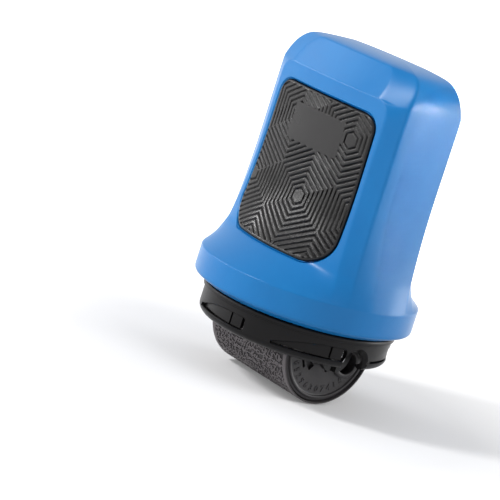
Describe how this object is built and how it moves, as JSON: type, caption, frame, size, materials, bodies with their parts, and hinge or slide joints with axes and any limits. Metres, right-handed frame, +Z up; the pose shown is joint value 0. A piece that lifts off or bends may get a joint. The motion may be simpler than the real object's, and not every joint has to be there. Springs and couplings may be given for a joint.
{
  "type": "privacy roller stamp",
  "caption": "Hand-held roller stamp: a print drum with an ink filling port turns under a round guard, in a housing with a flat grip and soft grip pads.",
  "frame": {"origin": "the plane's centre under the print drum, at the drum's lowest point", "axes": "+Z up along the handle, +X out of the end with the filling port, along the drum's axis, +Y to the back"},
  "size_m": [0.0654, 0.0654, 0.1005],
  "materials": {
    "blue_plastic": "satin moulded blue",
    "pad_rubber": "matt grooved dark grey",
    "black_plastic": "satin moulded black",
    "inner_plastic": "plain moulded dark grey",
    "disc_plastic": "moulded dark grey",
    "print_rubber": "matt relief rubber",
    "seal_rubber": "matt black",
    "felt": "ink-soaked felt",
    "acetal": "natural acetal",
    "steel": "plain steel"
  },
  "bodies": {
    "handle": {"housing_shell": "blue_plastic", "front_grip_pad": "pad_rubber", "rear_grip_pad": "pad_rubber", "roller_guard": "black_plastic", "inner_carrier": "inner_plastic", "chassis_screw_1": "steel", "chassis_screw_2": "steel", "chassis_screw_3": "steel", "chassis_screw_4": "steel", "axle": "steel", "axle_clip_left": "steel", "axle_clip_right": "steel", "thrust_washer_left": "acetal", "thrust_washer_right": "acetal"},
    "drum": {"drum_core": "inner_plastic", "ink_felt": "felt", "print_sleeve": "print_rubber", "end_disc_left": "disc_plastic", "end_disc_right": "disc_plastic", "bearing_bush_left": "acetal", "bearing_bush_right": "acetal", "seal_ring_left": "seal_rubber", "seal_ring_right": "seal_rubber", "fill_port": "disc_plastic", "fill_valve": "seal_rubber"}
  },
  "joints": [
    {"name": "roller_spin", "type": "hinge", "parent": "handle", "child": "drum", "pos_m": [0, 0, 0.016], "axis": [1, 0, 0], "continuous": true}
  ]
}
